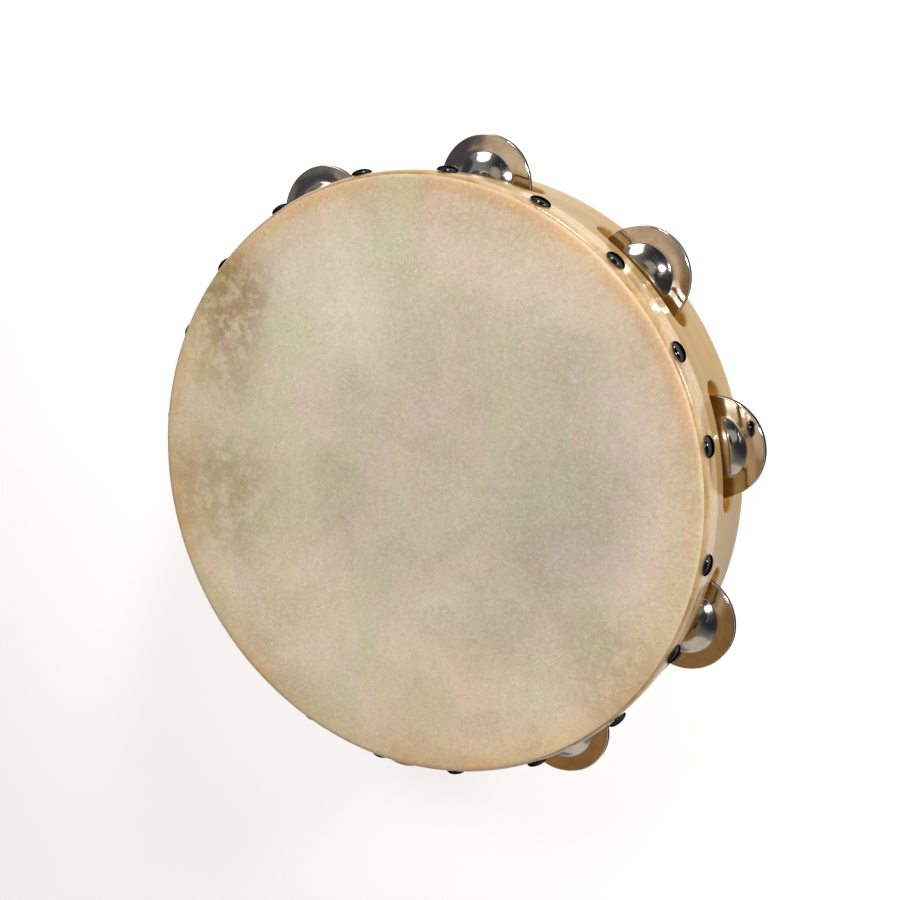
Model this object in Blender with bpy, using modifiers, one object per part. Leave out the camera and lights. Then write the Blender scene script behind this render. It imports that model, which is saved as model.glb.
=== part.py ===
"""Headed tambourine: a bent wooden hoop, a hide head held by domed tacks, and ten pairs of loose jingles.

The instrument lies on its open back rim with the head up. Units are metres, +Z is up, and the origin is on the
drum's axis, in the plane of the back rim. The first jingle is on +X, and the others follow anticlockwise.
"""

from math import cos, pi, radians, sin

import bmesh
import bpy
from mathutils import Matrix, Vector

# Hoop
HOOP_RADIUS = 0.127
WALL = 0.007
HOOP_HEIGHT = 0.050
FRONT_EDGE_ROUND = 0.0025
BACK_EDGE_CHAMFER = 0.0010

# Head
SKIN = 0.0007
GAP = 0.0003
SKIN_FLAP = 0.0125

# Jingles, their slots and pins
JINGLE_COUNT = 10
SLOT_LENGTH = 0.0535
SLOT_WIDTH = 0.0125
SLOT_HEIGHT = 0.0215
PIN_CIRCLE = 0.1232
PIN_RADIUS = 0.00125
PIN_BOTTOM = 0.0004
PIN_TOP = 0.0360
CUP_RADIUS = 0.0205
CUP_HOLE = 0.0020
CUP_DEPTH = 0.0042
CUP_SHEET = 0.0008
DOME_RADIUS = 0.0130
FLANGE_RISE = 0.0005
# Where the dome curves between its hole and its foot: distance from the pin, and drop below the crown
DOME_OUTSIDE = ((0.0070, 0.0006), (0.0110, 0.0019))
DOME_INSIDE = ((0.0106, 0.0018), (0.0068, 0.0006))
DOME_FOOT_INSIDE = DOME_RADIUS - 0.0006
STOP_CLEARANCE = 0.0007
# The slots are cut by eye: each sits a little off its even place, in degrees round the hoop, and each pair of
# cups hangs at its own tilt, in degrees, outer edge down. The pair opposite repeats both.
SLOT_NUDGES = (0.0, -1.3, -0.9, 0.5, 1.2)
PAIR_TILTS = (-8.0, 1.0, -2.0, 3.0, -1.5)
# The two cups of a pair touch at their inner edges and stand this many degrees open at their outer ones.
SPLAY = 2.0

# Tacks
TACK_COUNT = 20
TACK_HEIGHT = 0.0464
# The ring of tacks runs askew: full height in this direction, and lower by this much opposite
TACK_HIGH_SIDE = radians(195.0)
TACK_RING_DROP = 0.0034
TACK_HEAD_RADIUS = 0.0044
TACK_HEAD_RISE = 0.0021
# Where the tack's head curves between its crown and its rim: distance from its axis, and height
TACK_HEAD_CURVE = ((0.0020, 0.0018), (0.0036, 0.0011))
SHANK_RADIUS = 0.0008
SHANK_LENGTH = 0.0070
SHANK_TAPER = 0.0015
# The tacks are driven by eye, so each sits a little off its even place, in degrees round the hoop.
TACK_NUDGES = (0.5, 0.0, -1.0, 1.0, 0.0, -1.5, -2.0, -0.5, -0.5, -0.5,
               2.0, 0.5, 1.5, 1.0, 2.0, 1.5, 2.5, 2.0, 0.5, 1.0)

# Holes for pins and shanks are this much wider, and their cutters run this far past the wood
HOLE_CLEARANCE = 0.0004
CUTTER_OVERRUN = 0.0010

# Facets round each turned piece and each hole
HOOP_STEPS = 60
ROUND_STEPS = 3
CUP_STEPS = 16
TACK_STEPS = 10
PIN_STEPS = 8
TACK_HOLE_STEPS = 8
SLOT_END_STEPS = 16

MERGE = 0.00001
PIN_SHARP_ANGLE = 50.0
OUTER_SKIN = HOOP_RADIUS + GAP + SKIN


def clear_scene():
    for obj in list(bpy.data.objects):
        bpy.data.objects.remove(obj, do_unlink=True)


def new_collection(name):
    collection = bpy.data.collections.new(name)
    bpy.context.scene.collection.children.link(collection)
    return collection


def make_material(name, colour, roughness, metallic=0.0):
    material = bpy.data.materials.new(name)
    material.use_nodes = True
    shader = material.node_tree.nodes["Principled BSDF"]
    shader.inputs["Base Color"].default_value = (*colour, 1.0)
    shader.inputs["Roughness"].default_value = roughness
    shader.inputs["Metallic"].default_value = metallic
    return material


def profile_mesh(name, points, closed):
    """A profile of (radius, height) points in the XZ plane, as a chain of edges."""
    mesh = bpy.data.meshes.new(name)
    edges = [(i, i + 1) for i in range(len(points) - 1)]
    if closed:
        edges.append((len(points) - 1, 0))
    mesh.from_pydata([(radius, 0.0, height) for radius, height in points], edges, [])
    return mesh


def turned(name, mesh, steps, material, collection):
    """An object that turns a profile mesh a full circle about its own Z axis."""
    obj = bpy.data.objects.new(name, mesh)
    if not mesh.materials:
        mesh.materials.append(material)
    screw = obj.modifiers.new("Turn", "SCREW")
    screw.axis = "Z"
    screw.steps = steps
    screw.render_steps = steps
    screw.use_merge_vertices = True
    screw.merge_threshold = MERGE
    screw.use_smooth_shade = True
    collection.objects.link(obj)
    return obj


def arc(centre, radius, start, end, count):
    """Points on an arc of a profile, from the start angle to the end angle in degrees."""
    angles = [radians(start + (end - start) * i / (count - 1)) for i in range(count)]
    return [(centre[0] + radius * cos(a), centre[1] + radius * sin(a)) for a in angles]


def outward(angle, radius, height):
    """The frame at a place on the hoop: +X points away from the drum's axis and +Z stays up."""
    place = Matrix.Translation(Vector((radius * cos(angle), radius * sin(angle), height)))
    return place @ Matrix.Rotation(angle, 4, "Z")


def cylinder_into(mesh_data, radius, length, segments, matrix):
    bmesh.ops.create_cone(mesh_data, cap_ends=True, segments=segments, radius1=radius, radius2=radius,
                          depth=length, matrix=matrix)


def cutter_from(mesh_data, name, collection):
    mesh = bpy.data.meshes.new(name)
    mesh_data.to_mesh(mesh)
    mesh_data.free()
    obj = bpy.data.objects.new(name, mesh)
    obj.hide_render = True
    obj.display_type = "WIRE"
    collection.objects.link(obj)
    return obj


def cut(obj, cutter):
    boolean = obj.modifiers.new("Cut " + cutter.name, "BOOLEAN")
    boolean.operation = "DIFFERENCE"
    boolean.solver = "EXACT"
    boolean.object = cutter


def tack_angle(index):
    return radians(360.0 / TACK_COUNT * index + TACK_NUDGES[index])


def tack_height(index):
    return TACK_HEIGHT - TACK_RING_DROP * (1.0 - cos(tack_angle(index) - TACK_HIGH_SIDE)) / 2


def jingle_angle(index):
    return radians(360.0 / JINGLE_COUNT * index + SLOT_NUDGES[index % len(SLOT_NUDGES)])


def slot_cutter(collection):
    """Round-ended slots, each a cylinder along the radius whose two halves are drawn apart."""
    data = bmesh.new()
    end_radius = SLOT_WIDTH / 2
    half_straight = SLOT_LENGTH / 2 - end_radius
    half_step = Matrix.Rotation(pi / SLOT_END_STEPS, 4, "Z")
    lay_down = Matrix.Rotation(pi / 2, 4, "Y")
    for index in range(JINGLE_COUNT):
        made = bmesh.ops.create_cone(data, cap_ends=True, segments=SLOT_END_STEPS, radius1=end_radius,
                                     radius2=end_radius, depth=4 * WALL, matrix=lay_down @ half_step)
        for vertex in made["verts"]:
            vertex.co.y += half_straight if vertex.co.y > 0 else -half_straight
        place = outward(jingle_angle(index), HOOP_RADIUS - WALL / 2, SLOT_HEIGHT)
        bmesh.ops.transform(data, matrix=place, verts=made["verts"])
    return cutter_from(data, "slot_cutter", collection)


def pin_hole_cutter(collection):
    data = bmesh.new()
    bottom = -CUTTER_OVERRUN
    top = PIN_TOP + GAP
    for index in range(JINGLE_COUNT):
        place = outward(jingle_angle(index), PIN_CIRCLE, (bottom + top) / 2)
        cylinder_into(data, PIN_RADIUS + HOLE_CLEARANCE, top - bottom, PIN_STEPS, place)
    return cutter_from(data, "pin_hole_cutter", collection)


def tack_hole_cutter(collection):
    """Blind holes that run through the skin and into the wall, a little deeper than the shanks."""
    data = bmesh.new()
    inner_end = OUTER_SKIN + GAP - SHANK_LENGTH - HOLE_CLEARANCE
    outer_end = OUTER_SKIN + CUTTER_OVERRUN
    length = outer_end - inner_end
    along = Matrix.Rotation(pi / 2, 4, "Y")
    for index in range(TACK_COUNT):
        place = outward(tack_angle(index), (inner_end + outer_end) / 2, tack_height(index))
        cylinder_into(data, SHANK_RADIUS + HOLE_CLEARANCE, length, TACK_HOLE_STEPS, place @ along)
    return cutter_from(data, "tack_hole_cutter", collection)


def build_hoop(collection, cutters, material):
    inner = HOOP_RADIUS - WALL
    edge = FRONT_EDGE_ROUND
    chamfer = BACK_EDGE_CHAMFER
    points = arc((HOOP_RADIUS - edge, HOOP_HEIGHT - edge), edge, 90, 0, ROUND_STEPS)
    points += [(HOOP_RADIUS, chamfer), (HOOP_RADIUS - chamfer, 0.0)]
    points += [(inner + chamfer, 0.0), (inner, chamfer)]
    points += [(inner, HOOP_HEIGHT - chamfer), (inner + chamfer, HOOP_HEIGHT)]
    hoop = turned("hoop", profile_mesh("hoop_profile", points, True), HOOP_STEPS, material, collection)
    for cutter in cutters:
        cut(hoop, cutter)


def build_drumhead(collection, cutter, material):
    """One hide: the flat head, the turn over the hoop's front edge, and the flap down the wall."""
    centre = (HOOP_RADIUS - FRONT_EDGE_ROUND, HOOP_HEIGHT - FRONT_EDGE_ROUND)
    under = FRONT_EDGE_ROUND + GAP
    over = under + SKIN
    flap_end = HOOP_HEIGHT + GAP + SKIN - SKIN_FLAP
    points = [(0.0, HOOP_HEIGHT + GAP + SKIN)]
    points += arc(centre, over, 90, 0, ROUND_STEPS)
    points += [(OUTER_SKIN, flap_end), (OUTER_SKIN - SKIN, flap_end)]
    points += arc(centre, under, 0, 90, ROUND_STEPS)
    points += [(0.0, HOOP_HEIGHT + GAP)]
    mesh = profile_mesh("drumhead_profile", points, False)
    head = turned("drumhead", mesh, HOOP_STEPS, material, collection)
    cut(head, cutter)


def build_tacks(collection, material):
    """Domed upholstery tacks: the head stands just off the skin and the shank points at the drum's axis."""
    points = [(0.0, TACK_HEAD_RISE), *TACK_HEAD_CURVE, (TACK_HEAD_RADIUS, 0.0)]
    points += [(SHANK_RADIUS, 0.0), (SHANK_RADIUS, SHANK_TAPER - SHANK_LENGTH), (0.0, -SHANK_LENGTH)]
    mesh = profile_mesh("tack_profile", points, False)
    stand_out = Matrix.Rotation(pi / 2, 4, "Y")
    for index in range(TACK_COUNT):
        tack = turned(f"tack_{index + 1:02d}", mesh, TACK_STEPS, material, collection)
        tack.matrix_world = outward(tack_angle(index), OUTER_SKIN + GAP, tack_height(index)) @ stand_out


def build_pins(collection, material):
    length = PIN_TOP - PIN_BOTTOM
    data = bmesh.new()
    cylinder_into(data, PIN_RADIUS, length, PIN_STEPS, Matrix.Identity(4))
    mesh = bpy.data.meshes.new("pin")
    data.to_mesh(mesh)
    data.free()
    mesh.materials.append(material)
    mesh.shade_smooth()
    mesh.set_sharp_from_angle(angle=radians(PIN_SHARP_ANGLE))
    for index in range(JINGLE_COUNT):
        pin = bpy.data.objects.new(f"jingle_pin_{index + 1:02d}", mesh)
        pin.matrix_world = outward(jingle_angle(index), PIN_CIRCLE, PIN_BOTTOM + length / 2)
        collection.objects.link(pin)


def cup_profile():
    """A pressed cup, dome up, from the hole's edge over the dome and flange, and back underneath."""
    under_depth = CUP_DEPTH - CUP_SHEET
    top = [(CUP_HOLE, CUP_DEPTH)]
    top += [(radius, CUP_DEPTH - drop) for radius, drop in DOME_OUTSIDE]
    top += [(DOME_RADIUS, CUP_SHEET + FLANGE_RISE), (CUP_RADIUS, CUP_SHEET)]
    under = [(CUP_RADIUS, 0.0), (DOME_FOOT_INSIDE, FLANGE_RISE)]
    under += [(radius, under_depth - drop) for radius, drop in DOME_INSIDE]
    under += [(CUP_HOLE, under_depth)]
    return top + under


def build_cups(collection, material):
    """Two cups on each pin, hollow sides together, the rear one resting on the lower edge of the slot."""
    mesh = profile_mesh("cup_profile", cup_profile(), True)
    rear_height = SLOT_HEIGHT - SLOT_WIDTH / 2 + STOP_CLEARANCE + CUP_DEPTH
    turn_over = Matrix.Rotation(pi, 4, "X")
    for index in range(JINGLE_COUNT):
        middle_tilt = PAIR_TILTS[index % len(PAIR_TILTS)]
        rear_tilt = radians(middle_tilt + SPLAY / 2)
        front_tilt = radians(middle_tilt - SPLAY / 2)
        front_height = rear_height + CUP_RADIUS * (sin(rear_tilt) - sin(front_tilt)) + GAP
        angle = jingle_angle(index)
        lean_rear = Matrix.Rotation(rear_tilt, 4, "Y")
        rear = turned(f"jingle_rear_{index + 1:02d}", mesh, CUP_STEPS, material, collection)
        rear.matrix_world = outward(angle, PIN_CIRCLE, rear_height) @ lean_rear @ turn_over
        lean_front = Matrix.Rotation(front_tilt, 4, "Y")
        front = turned(f"jingle_front_{index + 1:02d}", mesh, CUP_STEPS, material, collection)
        front.matrix_world = outward(angle, PIN_CIRCLE, front_height) @ lean_front


def main():
    clear_scene()
    parts = new_collection("tambourine")
    cutters = new_collection("cutters")
    wood = make_material("lacquered_wood", (0.60, 0.42, 0.22), 0.28)
    hide = make_material("hide", (0.56, 0.45, 0.31), 0.62)
    nickel = make_material("nickel_plate", (0.66, 0.63, 0.58), 0.16, 1.0)
    chrome = make_material("chrome_tack", (0.55, 0.55, 0.57), 0.10, 1.0)
    steel = make_material("steel_pin", (0.50, 0.49, 0.47), 0.35, 1.0)

    tack_holes = tack_hole_cutter(cutters)
    build_hoop(parts, (slot_cutter(cutters), pin_hole_cutter(cutters), tack_holes), wood)
    build_drumhead(parts, tack_holes, hide)
    build_tacks(parts, chrome)
    build_pins(parts, steel)
    build_cups(parts, nickel)


main()
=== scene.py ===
"""Looks of the headed tambourine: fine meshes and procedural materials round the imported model."""

from math import atan2, cos, pi, radians, sin

import bmesh
import bpy
from mathutils import Matrix, Vector, noise


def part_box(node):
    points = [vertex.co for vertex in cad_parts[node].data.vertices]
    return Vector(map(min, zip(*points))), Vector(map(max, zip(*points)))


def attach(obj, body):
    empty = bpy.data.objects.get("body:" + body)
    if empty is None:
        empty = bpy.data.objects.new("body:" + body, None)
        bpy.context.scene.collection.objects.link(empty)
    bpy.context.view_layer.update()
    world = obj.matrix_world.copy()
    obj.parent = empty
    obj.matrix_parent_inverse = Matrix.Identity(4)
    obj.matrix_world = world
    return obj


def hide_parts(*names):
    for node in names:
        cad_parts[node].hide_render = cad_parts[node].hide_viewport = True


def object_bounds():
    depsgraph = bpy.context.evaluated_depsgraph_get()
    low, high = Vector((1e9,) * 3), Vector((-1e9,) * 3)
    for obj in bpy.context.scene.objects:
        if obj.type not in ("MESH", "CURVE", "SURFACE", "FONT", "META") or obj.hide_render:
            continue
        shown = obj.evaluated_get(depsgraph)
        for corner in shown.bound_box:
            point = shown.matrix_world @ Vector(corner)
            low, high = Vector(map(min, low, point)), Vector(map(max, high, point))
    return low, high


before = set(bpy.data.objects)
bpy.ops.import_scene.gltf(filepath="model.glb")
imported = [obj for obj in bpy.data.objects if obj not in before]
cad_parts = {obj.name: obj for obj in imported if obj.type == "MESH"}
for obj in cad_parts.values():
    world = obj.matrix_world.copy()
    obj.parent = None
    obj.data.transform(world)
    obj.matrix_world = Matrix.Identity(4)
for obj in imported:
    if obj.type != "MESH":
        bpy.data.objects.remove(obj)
cad_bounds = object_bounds()

# Sizes taken from the frame
HOOP_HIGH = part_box("hoop")[1]
HEAD_LOW, HEAD_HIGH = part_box("drumhead")
HOOP_RADIUS = HOOP_HIGH[0]
HOOP_TOP = HOOP_HIGH[2]
OUTER_SKIN = HEAD_HIGH[0]
HEAD_TOP = HEAD_HIGH[2]
FLAP_END = HEAD_LOW[2]

# Clearance between pieces that rest against each other
GAP = 0.0003

# Hoop, in the part's own dimensions
WALL = 0.007
FRONT_ROUND = 0.0025
BACK_ROUND = 0.0012
SLOT_LENGTH = 0.0535
SLOT_WIDTH = 0.0125
SLOT_HEIGHT = 0.0215
SLOT_ROUND = 0.0009
SLOT_BORDER = 0.0004
MERGE_REACH = 0.00002
JINGLE_COUNT = sum(name.startswith("jingle_pin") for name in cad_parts)
TACK_COUNT = sum(name.startswith("tack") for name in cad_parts)

# Hide: how thick it is drawn, its low hills, and the ripple and uneven cut of its flap
HIDE_SHEET = 0.0006
HILL_HEIGHT = 0.00025
HILL_SETBACK = 0.0002
HILL_MARGIN = 0.004
HILL_FADE = 0.020
FLAP_RIPPLE = 0.00010
FLAP_RAGGED = 0.0005
FLAP_START = 0.0018
FLAP_BEND = 0.002
HILL_SCALE = 22.0
RAGGED_SCALE = 14.0

# Jingles
PIN_CIRCLE = 0.1232
PIN_RADIUS = 0.00125
CUP_RADIUS = 0.0205
CUP_DEPTH = 0.0042
STOP_CLEARANCE = 0.0007
SLOT_NUDGES = (0.0, -1.3, -0.9, 0.5, 1.2)
PAIR_TILTS = (-8.0, 1.0, -2.0, 3.0, -1.5)
SPLAY = 2.0
CUP_SHEET = 0.0005
CUP_HOLE = 0.0020
DOME_RADIUS = 0.0128
DOME_FULLNESS = 2.7
FLANGE_TOP = 0.0010
FLANGE_DIP = 0.00050
BEND = 0.0003
RIM_MIDDLE = 0.00030
RIM_ROUND = 0.0001
DENT = 0.00012
DENT_SCALE = 130.0
FRONT_CUP_SEED = 31

# Tacks
TACK_RADIUS = 0.0044
TACK_RISE = 0.0021
TACK_HOLLOW = 0.0034
SHANK_RADIUS = 0.0008
SHANK_LENGTH = 0.0069
SHANK_TAPER = 0.0014

# Facets round each turned piece, and the angle from which a pin's edges are sharp
HEAD_STEPS = 360
CUP_STEPS = 96
TACK_STEPS = 48
PIN_STEPS = 24
PIN_SHARP_ANGLE = 40.0

# Broad regions of the hide, which paint light and shade across it along with shifts in its own tone, and the
# stains on it:
# centre, plateau, reach, and the tint that multiplies the hide there.
HIDE_TONE_AND_PAINTED_LIGHT = (((-0.030, 0.000), 0.066, 0.084, (0.920, 0.925, 0.950)),
                ((-0.062, 0.018), 0.010, 0.046, (0.880, 0.890, 0.915)),
                ((0.020, -0.080), 0.015, 0.060, (1.000, 1.070, 1.070)),
                ((0.072, 0.050), 0.010, 0.045, (1.110, 1.130, 1.080)),
                ((0.000, 0.105), 0.015, 0.055, (1.000, 0.950, 0.900)),
                ((-0.090, -0.030), 0.015, 0.060, (0.930, 0.935, 0.950)))
HIDE_STAINS = (((0.076, -0.088), 0.008, 0.032, (0.570, 0.510, 0.350)),
               ((0.085, -0.060), 0.004, 0.028, (0.760, 0.740, 0.580)),
               ((0.100, -0.002), 0.010, 0.044, (0.740, 0.710, 0.530)),
               ((-0.077, 0.078), 0.006, 0.032, (0.780, 0.750, 0.680)),
               ((-0.020, 0.073), 0.002, 0.022, (0.920, 0.910, 0.880)),
               ((0.039, -0.006), 0.001, 0.018, (0.860, 0.870, 0.810)))

# Camera
CAMERA_AIM = (-0.0154, -0.0106, 0.0410)
CAMERA_DISTANCE = 0.5992
CAMERA_AZIMUTH = -164.96
CAMERA_ELEVATION = 60.49
CAMERA_ROLL = 111.91
CAMERA_LENS = 57.45
SENSOR = 36.0

# The room that the bright metal mirrors. Each patch has an azimuth, elevation, inner and outer reach in
# degrees, and a colour, and lies over the ones before it.
ROOM_TONE = (0.24, 0.24, 0.245)
ROOM_PATCHES = ((-165.0, 50.0, 34.0, 60.0, (0.030, 0.033, 0.042)),
                (-95.0, 78.0, 6.0, 15.0, (0.42, 0.40, 0.36)),
                (-30.0, 27.0, 11.0, 17.0, (0.060, 0.058, 0.072)),
                (-68.0, 38.0, 9.0, 14.0, (3.2, 3.2, 3.3)),
                (80.0, 32.0, 18.0, 25.0, (0.64, 0.61, 0.58)),
                (28.0, 56.0, 22.0, 30.0, (0.30, 0.165, 0.060)),
                (-2.0, 67.0, 9.0, 16.0, (0.74, 0.57, 0.40)),
                (-14.0, 54.0, 6.0, 11.0, (0.072, 0.075, 0.078)))

# Floor and lights. Each light has a name, place, side and power, and all face the middle of the drum.
FLOOR_REACH = 4.0
FLOOR_DROP = 0.0002
LIGHT_AIM = (0.0, 0.0, 0.03)
LIGHTS = (("flash", (-0.99, -0.35, 1.76), 0.16, 38.0),
          ("softbox_upper", (-0.36, -0.74, 0.26), 0.18, 4.6),
          ("softbox_right", (-0.84, -0.20, 0.18), 0.14, 3.0))


# ---------------------------------------------------------------- material tools

class Nodes:
    """Short calls for building one material's node tree."""

    def __init__(self, name):
        self.material = bpy.data.materials.new(name)
        self.material.use_nodes = True
        self.tree = self.material.node_tree
        self.shader = self.tree.nodes["Principled BSDF"]

    def add(self, kind, **settings):
        node = self.tree.nodes.new(kind)
        for key, value in settings.items():
            setattr(node, key, value)
        return node

    def put(self, socket, value):
        if isinstance(value, bpy.types.NodeSocket):
            self.tree.links.new(value, socket)
        else:
            socket.default_value = value

    def place(self):
        return self.add("ShaderNodeTexCoord").outputs["Object"]

    def stretch(self, vector, scale, offset=(0.0, 0.0, 0.0)):
        node = self.add("ShaderNodeMapping")
        self.put(node.inputs["Vector"], vector)
        node.inputs["Scale"].default_value = scale
        node.inputs["Location"].default_value = offset
        return node.outputs["Vector"]

    def noise(self, vector, scale, detail=4.0, rough=0.55, warp=0.0):
        node = self.add("ShaderNodeTexNoise")
        self.put(node.inputs["Vector"], vector)
        node.inputs["Scale"].default_value = scale
        node.inputs["Detail"].default_value = detail
        node.inputs["Roughness"].default_value = rough
        node.inputs["Distortion"].default_value = warp
        return node.outputs["Fac"]

    def ramp(self, value, stops):
        node = self.add("ShaderNodeValToRGB")
        ramp = node.color_ramp
        while len(ramp.elements) < len(stops):
            ramp.elements.new(0.5)
        for element, (where, colour) in zip(ramp.elements, stops):
            element.position = where
            element.color = (*colour, 1.0)
        self.put(node.inputs["Fac"], value)
        return node.outputs["Color"]

    def mix(self, amount, first, second, blend="MIX"):
        node = self.add("ShaderNodeMix", data_type="RGBA", blend_type=blend)
        self.put(node.inputs[0], amount)
        for socket, value in ((node.inputs[6], first), (node.inputs[7], second)):
            self.put(socket, (*value, 1.0) if isinstance(value, tuple) else value)
        return node.outputs[2]

    def math(self, operation, first, second):
        node = self.add("ShaderNodeMath", operation=operation)
        self.put(node.inputs[0], first)
        self.put(node.inputs[1], second)
        return node.outputs[0]

    def span(self, value, low, high, new_low=0.0, new_high=1.0):
        node = self.add("ShaderNodeMapRange", interpolation_type="SMOOTHSTEP")
        self.put(node.inputs["Value"], value)
        node.inputs["From Min"].default_value = low
        node.inputs["From Max"].default_value = high
        node.inputs["To Min"].default_value = new_low
        node.inputs["To Max"].default_value = new_high
        return node.outputs["Result"]

    def radius(self, vector):
        """Distance from the drum's axis."""
        flat = self.add("ShaderNodeVectorMath", operation="MULTIPLY")
        self.put(flat.inputs[0], vector)
        flat.inputs[1].default_value = (1.0, 1.0, 0.0)
        length = self.add("ShaderNodeVectorMath", operation="LENGTH")
        self.put(length.inputs[0], flat.outputs["Vector"])
        return length.outputs["Value"]

    def near(self, vector, point, reach, plateau):
        """1 within the plateau round a point, falling smoothly to 0 at reach."""
        node = self.add("ShaderNodeVectorMath", operation="DISTANCE")
        self.put(node.inputs[0], vector)
        node.inputs[1].default_value = point
        return self.span(node.outputs["Value"], plateau, reach, 1.0, 0.0)

    def bump(self, height, strength, distance, under=None):
        node = self.add("ShaderNodeBump")
        node.inputs["Strength"].default_value = strength
        node.inputs["Distance"].default_value = distance
        self.put(node.inputs["Height"], height)
        if under is not None:
            self.put(node.inputs["Normal"], under)
        return node.outputs["Normal"]

    def finish(self, colour, roughness, normal=None, **values):
        self.put(self.shader.inputs["Base Color"], colour)
        self.put(self.shader.inputs["Roughness"], roughness)
        if normal is not None:
            self.put(self.shader.inputs["Normal"], normal)
        for name, value in values.items():
            self.shader.inputs[name.replace("_", " ")].default_value = value
        return self.material


# ---------------------------------------------------------------- materials

def lacquered_wood():
    """Pale bent wood: fine grain that runs round the hoop, broad soft figure, clear gloss coat."""
    n = Nodes("lacquered_wood")
    place = n.place()
    streaks = n.noise(n.stretch(place, (9.0, 9.0, 420.0)), 1.0, 6.0, 0.6, 0.3)
    pores = n.noise(n.stretch(place, (60.0, 60.0, 2600.0)), 1.0, 3.0, 0.6)
    figure = n.noise(n.stretch(place, (14.0, 14.0, 60.0)), 1.0, 3.0, 0.5, 0.8)
    colour = n.ramp(streaks, ((0.25, (0.185, 0.108, 0.026)),
                              (0.50, (0.225, 0.138, 0.036)),
                              (0.80, (0.270, 0.172, 0.050))))
    colour = n.mix(n.span(figure, 0.35, 0.75, 0.0, 0.40), colour, (0.175, 0.098, 0.022))
    colour = n.mix(n.span(pores, 0.56, 0.72, 0.0, 0.30), colour, (0.140, 0.078, 0.018))
    rough = n.span(figure, 0.3, 0.8, 0.36, 0.48)
    normal = n.bump(streaks, 0.12, 0.0004)
    return n.finish(colour, rough, normal, Coat_Weight=0.14, Coat_Roughness=0.10, Specular_IOR_Level=0.22)


def slot_wood():
    """The routed slot walls: end grain that soaked up the lacquer and turned orange-brown."""
    n = Nodes("slot_wood")
    place = n.place()
    fibres = n.noise(n.stretch(place, (300.0, 300.0, 900.0)), 1.0, 5.0, 0.7)
    broad = n.noise(place, 60.0, 2.0)
    colour = n.ramp(fibres, ((0.3, (0.21, 0.073, 0.006)), (0.7, (0.34, 0.142, 0.015))))
    colour = n.mix(n.span(broad, 0.4, 0.7, 0.0, 0.5), colour, (0.34, 0.175, 0.045))
    normal = n.bump(fibres, 0.4, 0.0003)
    return n.finish(colour, 0.5, normal, Coat_Weight=0.1, Coat_Roughness=0.25, Specular_IOR_Level=0.3)


def inner_wood():
    """The inside of the hoop: the same wood, sealed but duller and a little browner."""
    n = Nodes("inner_wood")
    place = n.place()
    streaks = n.noise(n.stretch(place, (9.0, 9.0, 380.0), (0.3, 0.1, 0.0)), 1.0, 6.0, 0.65, 0.3)
    colour = n.ramp(streaks, ((0.25, (0.27, 0.165, 0.065)), (0.75, (0.40, 0.265, 0.120))))
    return n.finish(colour, 0.55, n.bump(streaks, 0.25, 0.0004), Specular_IOR_Level=0.4)


def hide():
    """Natural hide: grey, green and pink clouds, broad painted light and shade, olive stains near the edge,
    tan by the hoop.
    """
    n = Nodes("hide")
    place = n.place()
    radius = n.radius(place)
    clouds = n.noise(place, 16.0, 5.0, 0.55, 0.6)
    tint = n.noise(n.stretch(place, (1.0, 1.0, 1.0), (0.37, 0.11, 0.0)), 19.0, 4.0, 0.55, 0.9)
    patches = n.noise(n.stretch(place, (1.0, 1.0, 1.0), (0.71, 0.53, 0.0)), 42.0, 6.0, 0.65, 0.7)
    mottle = n.noise(place, 130.0, 6.0, 0.75)
    speckle = n.noise(place, 680.0, 4.0, 0.8)
    fibres = n.noise(n.stretch(place, (1.0, 1.0, 1.0), (0.9, 0.2, 0.0)), 430.0, 2.0, 0.6)
    colour = n.ramp(clouds, ((0.32, (0.385, 0.317, 0.226)),
                             (0.50, (0.450, 0.375, 0.280)),
                             (0.68, (0.518, 0.440, 0.336))))
    colour = n.mix(n.span(tint, 0.50, 0.62, 0.0, 0.60), colour, (0.420, 0.400, 0.260))
    colour = n.mix(n.span(tint, 0.48, 0.36, 0.0, 0.55), colour, (0.500, 0.385, 0.335))
    colour = n.mix(n.span(patches, 0.52, 0.66, 0.0, 0.35), colour, (0.345, 0.300, 0.235))
    colour = n.mix(n.span(fibres, 0.50, 0.62, 0.0, 0.26), colour, (0.46, 0.46, 0.30))
    colour = n.mix(n.span(fibres, 0.48, 0.38, 0.0, 0.26), colour, (0.56, 0.40, 0.34))
    colour = n.mix(n.span(speckle, 0.52, 0.66, 0.0, 0.36), colour, (0.64, 0.58, 0.46))
    colour = n.mix(n.span(speckle, 0.48, 0.34, 0.0, 0.34), colour, (0.28, 0.22, 0.15))
    # Broad painted light and shade over the hide, lighter towards +X and darker towards -X, mixed with shifts
    # in its own tone.
    for (x, y), plateau, reach, tone in HIDE_TONE_AND_PAINTED_LIGHT:
        colour = n.mix(n.near(place, (x, y, HEAD_TOP), reach, plateau), colour, tone, "MULTIPLY")
    broken = n.span(mottle, 0.38, 0.58, 0.25, 1.0)
    for (x, y), plateau, reach, tone in HIDE_STAINS:
        spread = n.near(place, (x, y, HEAD_TOP), reach, plateau)
        colour = n.mix(n.math("MULTIPLY", spread, broken), colour, tone, "MULTIPLY")
    colour = n.mix(n.span(radius, 0.100, 0.122), colour, (0.990, 0.930, 0.820), "MULTIPLY")
    band = n.math("MULTIPLY", n.span(radius, 0.1185, 0.1225), n.span(tint, 0.36, 0.60, 1.0, 0.10))
    colour = n.mix(band, colour, (1.020, 0.870, 0.700), "MULTIPLY")
    normal = n.bump(speckle, 0.30, 0.0003)
    normal = n.bump(patches, 0.15, 0.0008, normal)
    rough = n.span(patches, 0.3, 0.7, 0.50, 0.62)
    return n.finish(colour, rough, normal, Specular_IOR_Level=0.45)


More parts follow.
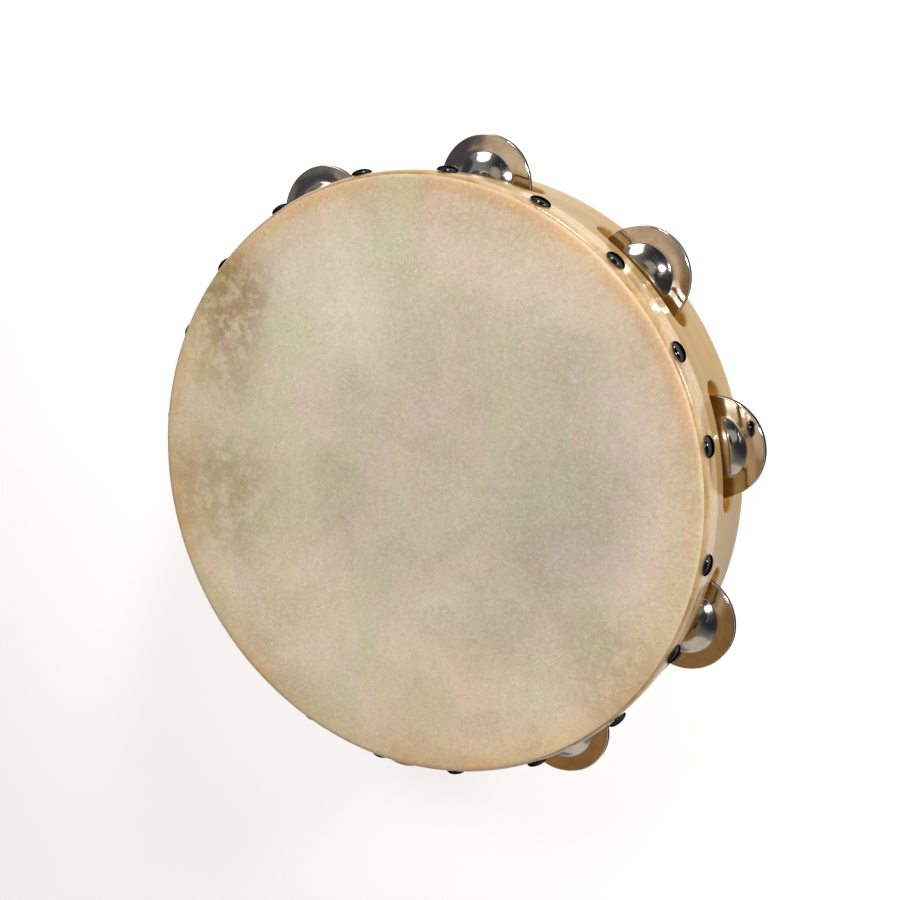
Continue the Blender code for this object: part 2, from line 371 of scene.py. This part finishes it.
def flap_hide():
    """Hide drawn tight down the wall: nearly the wood's own colour, with bright flecks and wrinkles."""
    n = Nodes("flap_hide")
    place = n.place()
    clouds = n.noise(n.stretch(place, (1.0, 1.0, 2.5)), 60.0, 4.0, 0.6, 0.5)
    speckle = n.noise(place, 500.0, 3.0, 0.7)
    colour = n.ramp(clouds, ((0.30, (0.24, 0.145, 0.055)),
                             (0.50, (0.31, 0.202, 0.090)),
                             (0.75, (0.39, 0.268, 0.165))))
    colour = n.mix(n.span(speckle, 0.56, 0.75, 0.0, 0.3), colour, (0.56, 0.46, 0.33))
    wrinkles = n.noise(place, 150.0, 3.0, 0.6)
    normal = n.bump(wrinkles, 0.45, 0.0010, n.bump(speckle, 0.3, 0.0002))
    return n.finish(colour, n.span(clouds, 0.3, 0.7, 0.25, 0.40), normal, Specular_IOR_Level=0.35,
                    Coat_Weight=0.25, Coat_Roughness=0.10)


def plated(name, colour, dark, rough_low, rough_high, seed, edge=1.0):
    """Plate with faint clouds, fine scratches and dull spots. Edge is its mirroring at a grazing angle."""
    n = Nodes(name)
    place = n.stretch(n.place(), (1.0, 1.0, 1.0), (seed, seed * 0.7, seed * 0.3))
    clouds = n.noise(place, 90.0, 4.0, 0.6, 0.4)
    scratches = n.noise(n.stretch(place, (4200.0, 260.0, 900.0)), 1.0, 2.0, 0.5)
    spots = n.noise(place, 1400.0, 2.0, 0.5)
    base = n.mix(n.span(clouds, 0.38, 0.70), colour, dark)
    base = n.mix(n.span(spots, 0.66, 0.74, 0.0, 0.5), base, tuple(0.45 * c for c in dark))
    scratched = n.span(scratches, 0.60, 0.72, 0.0, 0.12)
    rough = n.math("ADD", n.span(clouds, 0.35, 0.7, rough_low, rough_high), scratched)
    normal = n.bump(clouds, 0.05, 0.0006, n.bump(scratches, 0.03, 0.00005))
    return n.finish(base, rough, normal, Metallic=1.0, Specular_Tint=(edge, edge, edge, 1.0))


def pale_floor():
    n = Nodes("pale_floor")
    place = n.place()
    mottle = n.noise(place, 6.0, 3.0)
    colour = n.ramp(mottle, ((0.3, (0.93, 0.93, 0.93)), (0.7, (0.95, 0.95, 0.95))))
    return n.finish(colour, 0.7, Specular_IOR_Level=0.1)


# ---------------------------------------------------------------- mesh tools

def object_from(name, data, materials):
    mesh = bpy.data.meshes.new(name)
    bmesh.ops.recalc_face_normals(data, faces=data.faces)
    data.to_mesh(mesh)
    data.free()
    for material in materials:
        mesh.materials.append(material)
    mesh.shade_smooth()
    obj = bpy.data.objects.new(name, mesh)
    bpy.context.scene.collection.objects.link(obj)
    return obj


def arc(centre, radius, start, end, count):
    angles = [radians(start + (end - start) * i / (count - 1)) for i in range(count)]
    return [(centre[0] + radius * cos(a), centre[1] + radius * sin(a)) for a in angles]


def bridge(data, ring_a, ring_b, material=0):
    """Faces all the way round between two rings of the same count."""
    count = len(ring_a)
    for i in range(count):
        j = (i + 1) % count
        face = data.faces.new((ring_a[i], ring_a[j], ring_b[j], ring_b[i]))
        face.material_index = material


def turned_rings(data, profile, steps, closed, shift=None):
    """Turns a profile of (radius, height) points about Z. A radius of 0 makes a pole."""
    rings = []
    for radius, height in profile:
        if radius == 0.0:
            rings.append([data.verts.new((0.0, 0.0, height))])
            continue
        ring = []
        for step in range(steps):
            angle = 2.0 * pi * step / steps
            point = Vector((radius * cos(angle), radius * sin(angle), height))
            if shift is not None:
                point += shift(angle, radius, height)
            ring.append(data.verts.new(point))
        rings.append(ring)
    pairs = list(zip(rings, rings[1:]))
    if closed:
        pairs.append((rings[-1], rings[0]))
    for first, second in pairs:
        if len(first) == 1 or len(second) == 1:
            pole, ring = (first[0], second) if len(first) == 1 else (second[0], first)
            for i in range(steps):
                data.faces.new((pole, ring[i], ring[(i + 1) % steps]))
        else:
            bridge(data, first, second)
    return rings


def jingle_angle(index):
    return radians(360.0 / JINGLE_COUNT * index + SLOT_NUDGES[index % len(SLOT_NUDGES)])


def outward(angle, radius, height):
    """The place of a piece on the hoop, with its own +X pointing away from the drum's axis."""
    place = Matrix.Translation(Vector((radius * cos(angle), radius * sin(angle), height)))
    return place @ Matrix.Rotation(angle, 4, "Z")


def turned_mesh(name, profile, steps, material):
    """One turned mesh for all copies of a fastening."""
    data = bmesh.new()
    turned_rings(data, profile, steps, False)
    source = object_from(name, data, (material,))
    mesh = source.data
    bpy.data.objects.remove(source)
    return mesh


def fasten(name, mesh, matrix, node):
    """A copy of a fastening, put in its CAD node's place on the frame."""
    piece = bpy.data.objects.new(name, mesh)
    bpy.context.scene.collection.objects.link(piece)
    piece.matrix_world = matrix
    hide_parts(node)
    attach(piece, "frame")


# ---------------------------------------------------------------- hoop

def stadium_loop(length, width, count_straight, count_end):
    """Points round a round-ended slot, anticlockwise from the middle of its right end, as (along, up)."""
    r = width / 2
    half = length / 2 - r
    right = [(half + r * cos(a), r * sin(a)) for a in
             [-pi / 2 + pi * i / count_end for i in range(count_end)]]
    top = [(half - 2 * half * i / count_straight, r) for i in range(count_straight)]
    left = [(-half + r * cos(a), r * sin(a)) for a in
            [pi / 2 + pi * i / count_end for i in range(count_end)]]
    bottom = [(-half + 2 * half * i / count_straight, -r) for i in range(count_straight)]
    return right + top + left + bottom


def rectangle_loop(half_width, low, high, count_straight, count_end):
    right = [(half_width, low + (high - low) * i / count_end) for i in range(count_end)]
    top = [(half_width - 2 * half_width * i / count_straight, high) for i in range(count_straight)]
    left = [(-half_width, high + (low - high) * i / count_end) for i in range(count_end)]
    bottom = [(-half_width + 2 * half_width * i / count_straight, low) for i in range(count_straight)]
    return right + top + left + bottom


def hoop_angle(index, along):
    """Where a distance along a sector lies round the hoop. The slot's nudge fades out at both ends."""
    half_sector = pi * HOOP_RADIUS / JINGLE_COUNT
    follow = min(1.0, (half_sector - abs(along)) / (half_sector - SLOT_LENGTH / 2 - SLOT_ROUND))
    nudge = radians(SLOT_NUDGES[index % len(SLOT_NUDGES)])
    return 2.0 * pi * index / JINGLE_COUNT + along / HOOP_RADIUS + nudge * max(0.0, follow)


def build_hoop(materials):
    """The hoop, worked out flat, sector by sector, as loops from the sector's edge through the slot."""
    count_straight, count_end = 30, 16
    outer, inner = HOOP_RADIUS, HOOP_RADIUS - WALL
    half_sector = pi * outer / JINGLE_COUNT
    low, high = BACK_ROUND - SLOT_HEIGHT, HOOP_TOP - FRONT_ROUND - SLOT_HEIGHT
    edge = rectangle_loop(half_sector, low, high, count_straight, count_end)

    def slot(extra):
        return stadium_loop(SLOT_LENGTH + 2 * extra, SLOT_WIDTH + 2 * extra, count_straight, count_end)

    def blend(first, second, amount):
        return [(a[0] + (b[0] - a[0]) * amount, a[1] + (b[1] - a[1]) * amount) for a, b in zip(first, second)]

    near, far = slot(SLOT_ROUND + SLOT_BORDER), edge
    loops = [(blend(far, near, t), outer, 0) for t in (0.0, 0.25, 0.5, 0.75, 0.92, 1.0)]
    for angle in (0, 22.5, 45, 67.5, 90):
        a = radians(angle)
        loops.append((slot(SLOT_ROUND * (1 - sin(a))), outer - SLOT_ROUND * (1 - cos(a)), 0))
    for share in (0.02, 0.35, 0.65, 0.98):
        loops.append((slot(0.0), outer - SLOT_ROUND - (WALL - 2 * SLOT_ROUND) * share, 1))
    for angle in (0, 45, 90):
        a = radians(angle)
        loops.append((slot(SLOT_ROUND * (1 - cos(a))), inner + SLOT_ROUND * (1 - sin(a)), 1))
    loops += [(blend(near, far, t), inner, 2) for t in (0.0, 0.08, 0.25, 0.5, 0.75, 1.0)]

    data = bmesh.new()
    for index in range(JINGLE_COUNT):
        rings = []
        for loop, radius, _ in loops:
            ring = []
            for along, up in loop:
                angle = hoop_angle(index, along)
                ring.append(data.verts.new((radius * cos(angle), radius * sin(angle), SLOT_HEIGHT + up)))
            rings.append(ring)
        for (first, second), (_, _, slot_material) in zip(zip(rings, rings[1:]), loops[1:]):
            bridge(data, first, second, slot_material)
    top = arc((outer - FRONT_ROUND, HOOP_TOP - FRONT_ROUND), FRONT_ROUND, 0, 90, 5)
    top += arc((inner + BACK_ROUND, HOOP_TOP - BACK_ROUND), BACK_ROUND, 90, 180, 4)
    top += [(inner, HOOP_TOP - FRONT_ROUND)]
    back = arc((outer - BACK_ROUND, BACK_ROUND), BACK_ROUND, 0, -90, 5)
    back += arc((inner + BACK_ROUND, BACK_ROUND), BACK_ROUND, 270, 180, 5)
    angles = []
    for index in range(JINGLE_COUNT):
        for i in range(count_straight):
            angles.append(hoop_angle(index, -half_sector + 2 * half_sector * i / count_straight))
    for profile in (top, back):
        rings = []
        for radius, height in profile:
            rings.append([data.verts.new((radius * cos(a), radius * sin(a), height)) for a in angles])
        for first, second in zip(rings, rings[1:]):
            bridge(data, first, second)
    bmesh.ops.remove_doubles(data, verts=data.verts, dist=MERGE_REACH)
    hoop = object_from("hoop_wood", data, materials)
    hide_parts("hoop")
    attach(hoop, "frame")


# ---------------------------------------------------------------- head

def skin_shift(angle, radius, height):
    """Low hills in the stretched hide, a ripple down its flap, and the flap's uneven cut edge."""
    along = Vector((cos(angle), sin(angle), 0.0))
    flat_end = OUTER_SKIN - HILL_MARGIN
    if radius < flat_end:
        fade = min(1.0, (flat_end - radius) / HILL_FADE)
        hill = HILL_HEIGHT * fade * noise.noise(along * radius * HILL_SCALE)
        return Vector((0.0, 0.0, hill - HILL_SETBACK * fade))
    flap_top = HEAD_TOP - FLAP_BEND
    down = max(0.0, (flap_top - height) / (flap_top - FLAP_END))
    ripple = FLAP_RIPPLE * noise.noise(along * HILL_SCALE + Vector((0.0, 0.0, 5.0)))
    ragged = FLAP_RAGGED * noise.noise(along * RAGGED_SCALE + Vector((0.0, 0.0, 9.0)))
    return along * (ripple * (0.4 + down)) + Vector((0.0, 0.0, ragged * max(0.0, down - 0.6) / 0.4))


def build_head(materials):
    turn, bend = HOOP_RADIUS - FRONT_ROUND, HOOP_TOP - FRONT_ROUND
    over = HEAD_TOP - bend
    under = over - HIDE_SHEET
    flat = [turn * share for share in (0.0, 0.08, 0.16, 0.25, 0.34, 0.43, 0.52, 0.61, 0.70, 0.78, 0.85,
                                       0.91, 0.95, 0.98)]
    top = [(radius, HEAD_TOP) for radius in flat] + arc((turn, bend), over, 90, 0, 10)
    side_steps = 6
    side = [(turn + over, bend + (FLAP_END - bend) * i / side_steps) for i in range(1, side_steps)]
    lip = [(turn + over, FLAP_END + 0.00025), (turn + over - 0.0001, FLAP_END), (turn + under, FLAP_END)]
    back = [(turn + under, height) for _, height in reversed(side)] + arc((turn, bend), under, 0, 90, 8)
    back += [(radius, bend + under) for radius in reversed(flat)]
    data = bmesh.new()
    turned_rings(data, top + side + lip + back, HEAD_STEPS, False, skin_shift)
    for face in data.faces:
        middle = face.calc_center_median()
        if (middle.x ** 2 + middle.y ** 2) ** 0.5 > turn + FLAP_START:
            face.material_index = 1
    head = object_from("head_hide", data, materials)
    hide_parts("drumhead")
    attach(head, "frame")


# ---------------------------------------------------------------- fastenings and jingles

def build_tacks(material):
    profile = [(0.0, TACK_RISE)]
    dome_points = 14
    for i in range(1, dome_points):
        a = pi / 2 * i / dome_points
        profile.append((TACK_RADIUS * sin(a), TACK_RISE * cos(a) ** 0.9))
    profile += [(TACK_RADIUS, 0.00035), (TACK_RADIUS, 0.00010), (TACK_RADIUS - 0.0003, 0.0)]
    profile += [(TACK_HOLLOW, 0.0003), (SHANK_RADIUS, 0.0003), (SHANK_RADIUS, SHANK_TAPER - SHANK_LENGTH)]
    profile += [(0.0, -SHANK_LENGTH)]
    mesh = turned_mesh("tack_shape", profile, TACK_STEPS, material)
    for index in range(1, TACK_COUNT + 1):
        node = f"tack_{index:02d}"
        low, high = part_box(node)
        middle = [(a + b) / 2 for a, b in zip(low, high)]
        place = outward(atan2(middle[1], middle[0]), OUTER_SKIN + GAP, middle[2])
        fasten(f"tack_dome_{index:02d}", mesh, place @ Matrix.Rotation(pi / 2, 4, "Y"), node)


def build_pins(material):
    low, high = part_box("jingle_pin_01")
    length = high[2] - low[2]
    r = PIN_RADIUS
    profile = [(0.0, length), (r * 0.7, length), (r, length - 0.0004), (r, 0.0008), (r, 0.0003),
               (r * 0.85, 0.0), (0.0, 0.0)]
    mesh = turned_mesh("pin_shape", profile, PIN_STEPS, material)
    mesh.set_sharp_from_angle(angle=radians(PIN_SHARP_ANGLE))
    for index in range(JINGLE_COUNT):
        place = outward(jingle_angle(index), PIN_CIRCLE, low[2])
        fasten(f"pin_wire_{index + 1:02d}", mesh, place, f"jingle_pin_{index + 1:02d}")


def cup_profile():
    """Round dome, soft bend, wide flange dipping to a rounded rim, and the same line underneath."""
    foot = FLANGE_TOP + BEND
    top = []
    dome_points = 16
    for i in range(dome_points):
        radius = CUP_HOLE + (DOME_RADIUS - CUP_HOLE) * i / (dome_points - 1)
        top.append((radius, CUP_DEPTH - (CUP_DEPTH - foot) * (radius / DOME_RADIUS) ** DOME_FULLNESS))
    for along, up in ((0.7, 0.66), (1.4, 0.36), (2.1, 0.13), (2.9, 0.0)):
        top.append((DOME_RADIUS + BEND * along, FLANGE_TOP + BEND * up))
    start = top[-1][0]
    for share in (0.25, 0.5, 0.75, 0.93):
        top.append((start + (CUP_RADIUS - start) * share, FLANGE_TOP - FLANGE_DIP * share ** 1.5))
    rim = [(CUP_RADIUS - RIM_ROUND, 0.00052), (CUP_RADIUS, RIM_MIDDLE), (CUP_RADIUS - RIM_ROUND, 0.00005)]
    under = [(radius - RIM_ROUND, max(0.0, height - CUP_SHEET)) for radius, height in reversed(top)]
    return top + rim + under


def build_cup(name, node, body, matrix, materials, seed, painted_shade_rim):
    """One pressed cup with faint dents that make its reflections wander; its inner face, from the rim inward,
    is painted near-black as shade for the gap between the cups.
    """
    drift = Vector((seed * 3.7, seed * 1.3, seed * 2.1))

    def shift(angle, radius, _):
        point = Vector((radius * cos(angle), radius * sin(angle), 0.0))
        dent = DENT * noise.noise(point * DENT_SCALE + drift) * (radius / CUP_RADIUS)
        return Vector((0.0, 0.0, dent))

    profile = cup_profile()
    # Faces from this ring inward take the painted shade; a rear cup's rim takes it too.
    first_painted_shade = profile.index((CUP_RADIUS, RIM_MIDDLE)) - (1 if painted_shade_rim else 0)
    data = bmesh.new()
    rings = turned_rings(data, profile, CUP_STEPS, True, shift)
    inside = {vertex for ring in rings[first_painted_shade:] for vertex in ring}
    for face in data.faces:
        if all(vertex in inside for vertex in face.verts):
            face.material_index = 1
    cup = object_from(name, data, materials)
    cup.matrix_world = matrix
    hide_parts(node)
    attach(cup, body)


def build_jingles(materials, inside):
    rear_height = SLOT_HEIGHT - SLOT_WIDTH / 2 + STOP_CLEARANCE + CUP_DEPTH
    turn_over = Matrix.Rotation(pi, 4, "X")
    for index in range(JINGLE_COUNT):
        middle_tilt = PAIR_TILTS[index % len(PAIR_TILTS)]
        rear_tilt = radians(middle_tilt + SPLAY / 2)
        front_tilt = radians(middle_tilt - SPLAY / 2)
        front_height = rear_height + CUP_RADIUS * (sin(rear_tilt) - sin(front_tilt)) + GAP
        angle = jingle_angle(index)
        rear = outward(angle, PIN_CIRCLE, rear_height) @ Matrix.Rotation(rear_tilt, 4, "Y") @ turn_over
        front = outward(angle, PIN_CIRCLE, front_height) @ Matrix.Rotation(front_tilt, 4, "Y")
        number = f"{index + 1:02d}"
        build_cup(f"rear_cup_{number}_plate", f"jingle_rear_{number}", f"rear_cup_{number}", rear,
                  (materials[index % len(materials)], inside), index, True)
        build_cup(f"front_cup_{number}_plate", f"jingle_front_{number}", f"front_cup_{number}", front,
                  (materials[(index + 1) % len(materials)], inside), index + FRONT_CUP_SEED, False)


# ---------------------------------------------------------------- stage

def build_floor():
    data = bmesh.new()
    bmesh.ops.create_grid(data, x_segments=8, y_segments=8, size=FLOOR_REACH)
    floor = object_from("floor", data, (pale_floor(),))
    floor.location = (0.0, 0.0, cad_bounds[0][2] - FLOOR_DROP)


def area_light(name, place, side, power):
    light = bpy.data.lights.new(name, "AREA")
    light.shape = "RECTANGLE"
    light.size = side
    light.size_y = side
    light.energy = power
    obj = bpy.data.objects.new(name, light)
    obj.location = place
    obj.rotation_euler = (Vector(LIGHT_AIM) - Vector(place)).to_track_quat("-Z", "Y").to_euler()
    bpy.context.scene.collection.objects.link(obj)


def direction(azimuth, elevation):
    azimuth, elevation = radians(azimuth), radians(elevation)
    return Vector((cos(elevation) * cos(azimuth), cos(elevation) * sin(azimuth), sin(elevation)))


def patch(tree, place, azimuth, elevation, inner, outer):
    """How far a direction lies inside a patch of the room: 1 within the inner angle, 0 past the outer."""
    toward = tree.nodes.new("ShaderNodeVectorMath")
    toward.operation = "DOT_PRODUCT"
    toward.inputs[1].default_value = direction(azimuth, elevation)
    tree.links.new(place, toward.inputs[0])
    reach = tree.nodes.new("ShaderNodeMapRange")
    reach.interpolation_type = "SMOOTHSTEP"
    reach.inputs["From Min"].default_value = cos(radians(outer))
    reach.inputs["From Max"].default_value = cos(radians(inner))
    tree.links.new(toward.outputs["Value"], reach.inputs["Value"])
    return reach.outputs["Result"]


def build_world():
    """A soft studio: grey all round, dark by the camera, pale screens at both sides, warm walls opposite."""
    world = bpy.data.worlds.new("studio")
    world.use_nodes = True
    bpy.context.scene.world = world
    tree = world.node_tree
    background = tree.nodes["Background"]
    place = tree.nodes.new("ShaderNodeTexCoord").outputs["Generated"]
    colour = ROOM_TONE
    for azimuth, elevation, inner, outer, tone in ROOM_PATCHES:
        mix = tree.nodes.new("ShaderNodeMix")
        mix.data_type = "RGBA"
        tree.links.new(patch(tree, place, azimuth, elevation, inner, outer), mix.inputs[0])
        if isinstance(colour, tuple):
            mix.inputs[6].default_value = (*colour, 1.0)
        else:
            tree.links.new(colour, mix.inputs[6])
        mix.inputs[7].default_value = (*tone, 1.0)
        colour = mix.outputs[2]
    tree.links.new(colour, background.inputs["Color"])


def build_lights():
    """A flash beside the camera, and two small softboxes almost level with the tambourine."""
    for name, place, side, power in LIGHTS:
        area_light(name, place, side, power)


def build_camera():
    camera_data = bpy.data.cameras.new("camera")
    camera_data.lens = CAMERA_LENS
    camera_data.sensor_width = SENSOR
    camera_data.clip_start = 0.01
    camera = bpy.data.objects.new("camera", camera_data)
    back = direction(CAMERA_AZIMUTH, CAMERA_ELEVATION)
    turn = back.to_track_quat("Z", "Y").to_matrix().to_4x4() @ Matrix.Rotation(-radians(CAMERA_ROLL), 4, "Z")
    camera.matrix_world = Matrix.Translation(Vector(CAMERA_AIM) + back * CAMERA_DISTANCE) @ turn
    bpy.context.scene.collection.objects.link(camera)
    bpy.context.scene.camera = camera


def main():
    build_camera()
    build_hoop((lacquered_wood(), slot_wood(), inner_wood()))
    build_head((hide(), flap_hide()))
    # Tack plate made near-black, with little mirroring at grazing angles: a painted dark reflection, standing
    # in for a dark room mirrored in the chrome.
    build_tacks(plated("tack_chrome", (0.050, 0.047, 0.048), (0.040, 0.038, 0.039), 0.04, 0.08, 3.0, 0.1))
    build_pins(plated("pin_steel", (0.50, 0.48, 0.45), (0.33, 0.30, 0.27), 0.28, 0.42, 5.0))
    nickel = (plated("nickel_a", (0.72, 0.68, 0.62), (0.58, 0.53, 0.46), 0.04, 0.11, 0.0),
              plated("nickel_b", (0.70, 0.65, 0.58), (0.55, 0.49, 0.41), 0.05, 0.12, 7.0))
    # Near-black plate on the cups' inner faces and the rear cups' rims: painted shade for the dark gap
    # between the two cups of each pair.
    painted_shade_inside = plated("painted_shade_inside", (0.035, 0.033, 0.032), (0.02, 0.019, 0.018), 0.35, 0.5, 11.0)
    build_jingles(nickel, painted_shade_inside)
    build_floor()
    build_world()
    build_lights()
    bpy.context.scene.view_settings.view_transform = "Standard"


main()
